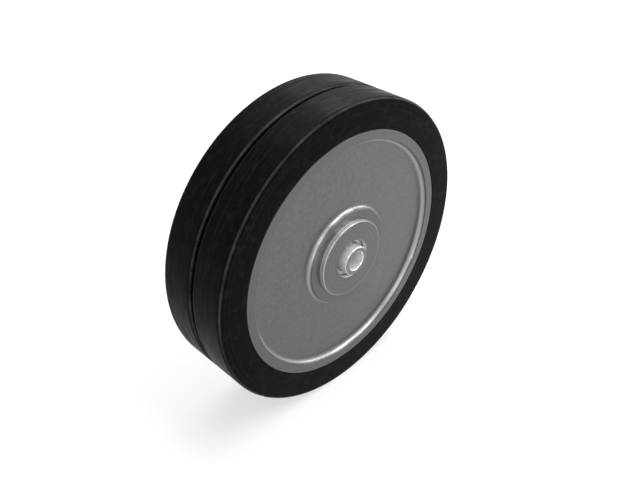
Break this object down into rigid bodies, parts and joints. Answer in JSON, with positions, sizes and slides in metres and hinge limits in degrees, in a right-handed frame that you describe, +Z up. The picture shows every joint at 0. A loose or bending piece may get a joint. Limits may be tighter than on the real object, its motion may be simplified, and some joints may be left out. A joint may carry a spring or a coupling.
{
  "type": "ball bearing wheel",
  "caption": "Rubber-tyred wheel on a cast metal centre, running on sealed ball bearings over a spanner bushing for an axle bolt.",
  "frame": {"origin": "the wheel's centre, midway along its axle", "axes": "+Y along the axle, away from the face that the picture shows; +Z up; the wheel turns about +Y"},
  "size_m": [0.2032, 0.0636, 0.2032],
  "materials": {
    "tyre_rubber": "moulded black rubber, satin",
    "cast_aluminium": "grey casting, turned rim and hub faces",
    "cover_steel": "turned, zinc plated",
    "turned_steel": "turned, zinc plated",
    "bearing_steel": "ground and polished",
    "shield_steel": "pressed sheet",
    "cage_steel": "pressed sheet"
  },
  "bodies": {
    "axle_group": {"spanner_bushing": "turned_steel", "spacer_tube": "turned_steel", "bearing_inner_ring_front": "bearing_steel", "bearing_inner_ring_back": "bearing_steel"},
    "wheel": {"tyre": "tyre_rubber", "wheel_centre": "cast_aluminium", "bearing_cover_front": "cover_steel", "bearing_outer_ring_front": "bearing_steel", "shield_front_outer": "shield_steel", "shield_front_inner": "shield_steel", "bearing_cover_back": "cover_steel", "bearing_outer_ring_back": "bearing_steel", "shield_back_outer": "shield_steel", "shield_back_inner": "shield_steel"},
    "cage_front": {"cage_front_outer_half": "cage_steel", "cage_front_inner_half": "cage_steel", "cage_front_rivets": "cage_steel"},
    "ball_front_1": {"ball_front_1": "bearing_steel"},
    "ball_front_2": {"ball_front_2": "bearing_steel"},
    "ball_front_3": {"ball_front_3": "bearing_steel"},
    "ball_front_4": {"ball_front_4": "bearing_steel"},
    "ball_front_5": {"ball_front_5": "bearing_steel"},
    "ball_front_6": {"ball_front_6": "bearing_steel"},
    "ball_front_7": {"ball_front_7": "bearing_steel"},
    "ball_front_8": {"ball_front_8": "bearing_steel"},
    "cage_back": {"cage_back_outer_half": "cage_steel", "cage_back_inner_half": "cage_steel", "cage_back_rivets": "cage_steel"},
    "ball_back_1": {"ball_back_1": "bearing_steel"},
    "ball_back_2": {"ball_back_2": "bearing_steel"},
    "ball_back_3": {"ball_back_3": "bearing_steel"},
    "ball_back_4": {"ball_back_4": "bearing_steel"},
    "ball_back_5": {"ball_back_5": "bearing_steel"},
    "ball_back_6": {"ball_back_6": "bearing_steel"},
    "ball_back_7": {"ball_back_7": "bearing_steel"},
    "ball_back_8": {"ball_back_8": "bearing_steel"}
  },
  "joints": [
    {"name": "wheel_spin", "type": "hinge", "parent": "axle_group", "child": "wheel", "pos_m": [0, 0, 0], "axis": [0, 1, 0], "continuous": true},
    {"name": "cage_front_orbit", "type": "hinge", "parent": "axle_group", "child": "cage_front", "pos_m": [0, -0.0181, 0], "axis": [0, 1, 0], "continuous": true},
    {"name": "ball_front_1_roll", "type": "hinge", "parent": "cage_front", "child": "ball_front_1", "pos_m": [0.01651, -0.0181, 0], "axis": [0, 1, 0], "continuous": true},
    {"name": "ball_front_2_roll", "type": "hinge", "parent": "cage_front", "child": "ball_front_2", "pos_m": [0.01168, -0.0181, 0.01168], "axis": [0, 1, 0], "continuous": true},
    {"name": "ball_front_3_roll", "type": "hinge", "parent": "cage_front", "child": "ball_front_3", "pos_m": [0, -0.0181, 0.01651], "axis": [0, 1, 0], "continuous": true},
    {"name": "ball_front_4_roll", "type": "hinge", "parent": "cage_front", "child": "ball_front_4", "pos_m": [-0.01168, -0.0181, 0.01168], "axis": [0, 1, 0], "continuous": true},
    {"name": "ball_front_5_roll", "type": "hinge", "parent": "cage_front", "child": "ball_front_5", "pos_m": [-0.01651, -0.0181, 0], "axis": [0, 1, 0], "continuous": true},
    {"name": "ball_front_6_roll", "type": "hinge", "parent": "cage_front", "child": "ball_front_6", "pos_m": [-0.01168, -0.0181, -0.01168], "axis": [0, 1, 0], "continuous": true},
    {"name": "ball_front_7_roll", "type": "hinge", "parent": "cage_front", "child": "ball_front_7", "pos_m": [0, -0.0181, -0.01651], "axis": [0, 1, 0], "continuous": true},
    {"name": "ball_front_8_roll", "type": "hinge", "parent": "cage_front", "child": "ball_front_8", "pos_m": [0.01168, -0.0181, -0.01168], "axis": [0, 1, 0], "continuous": true},
    {"name": "cage_back_orbit", "type": "hinge", "parent": "axle_group", "child": "cage_back", "pos_m": [0, 0.0181, 0], "axis": [0, 1, 0], "continuous": true},
    {"name": "ball_back_1_roll", "type": "hinge", "parent": "cage_back", "child": "ball_back_1", "pos_m": [0.01651, 0.0181, 0], "axis": [0, 1, 0], "continuous": true},
    {"name": "ball_back_2_roll", "type": "hinge", "parent": "cage_back", "child": "ball_back_2", "pos_m": [0.01168, 0.0181, 0.01168], "axis": [0, 1, 0], "continuous": true},
    {"name": "ball_back_3_roll", "type": "hinge", "parent": "cage_back", "child": "ball_back_3", "pos_m": [0, 0.0181, 0.01651], "axis": [0, 1, 0], "continuous": true},
    {"name": "ball_back_4_roll", "type": "hinge", "parent": "cage_back", "child": "ball_back_4", "pos_m": [-0.01168, 0.0181, 0.01168], "axis": [0, 1, 0], "continuous": true},
    {"name": "ball_back_5_roll", "type": "hinge", "parent": "cage_back", "child": "ball_back_5", "pos_m": [-0.01651, 0.0181, 0], "axis": [0, 1, 0], "continuous": true},
    {"name": "ball_back_6_roll", "type": "hinge", "parent": "cage_back", "child": "ball_back_6", "pos_m": [-0.01168, 0.0181, -0.01168], "axis": [0, 1, 0], "continuous": true},
    {"name": "ball_back_7_roll", "type": "hinge", "parent": "cage_back", "child": "ball_back_7", "pos_m": [0, 0.0181, -0.01651], "axis": [0, 1, 0], "continuous": true},
    {"name": "ball_back_8_roll", "type": "hinge", "parent": "cage_back", "child": "ball_back_8", "pos_m": [0.01168, 0.0181, -0.01168], "axis": [0, 1, 0], "continuous": true}
  ],
  "couplings": [
    {"joint": "cage_front_orbit", "follows": "wheel_spin", "ratio": 0.62018},
    {"joint": "ball_front_1_roll", "follows": "wheel_spin", "ratio": 1.96},
    {"joint": "ball_front_2_roll", "follows": "wheel_spin", "ratio": 1.96},
    {"joint": "ball_front_3_roll", "follows": "wheel_spin", "ratio": 1.96},
    {"joint": "ball_front_4_roll", "follows": "wheel_spin", "ratio": 1.96},
    {"joint": "ball_front_5_roll", "follows": "wheel_spin", "ratio": 1.96},
    {"joint": "ball_front_6_roll", "follows": "wheel_spin", "ratio": 1.96},
    {"joint": "ball_front_7_roll", "follows": "wheel_spin", "ratio": 1.96},
    {"joint": "ball_front_8_roll", "follows": "wheel_spin", "ratio": 1.96},
    {"joint": "cage_back_orbit", "follows": "wheel_spin", "ratio": 0.62018},
    {"joint": "ball_back_1_roll", "follows": "wheel_spin", "ratio": 1.96},
    {"joint": "ball_back_2_roll", "follows": "wheel_spin", "ratio": 1.96},
    {"joint": "ball_back_3_roll", "follows": "wheel_spin", "ratio": 1.96},
    {"joint": "ball_back_4_roll", "follows": "wheel_spin", "ratio": 1.96},
    {"joint": "ball_back_5_roll", "follows": "wheel_spin", "ratio": 1.96},
    {"joint": "ball_back_6_roll", "follows": "wheel_spin", "ratio": 1.96},
    {"joint": "ball_back_7_roll", "follows": "wheel_spin", "ratio": 1.96},
    {"joint": "ball_back_8_roll", "follows": "wheel_spin", "ratio": 1.96}
  ]
}
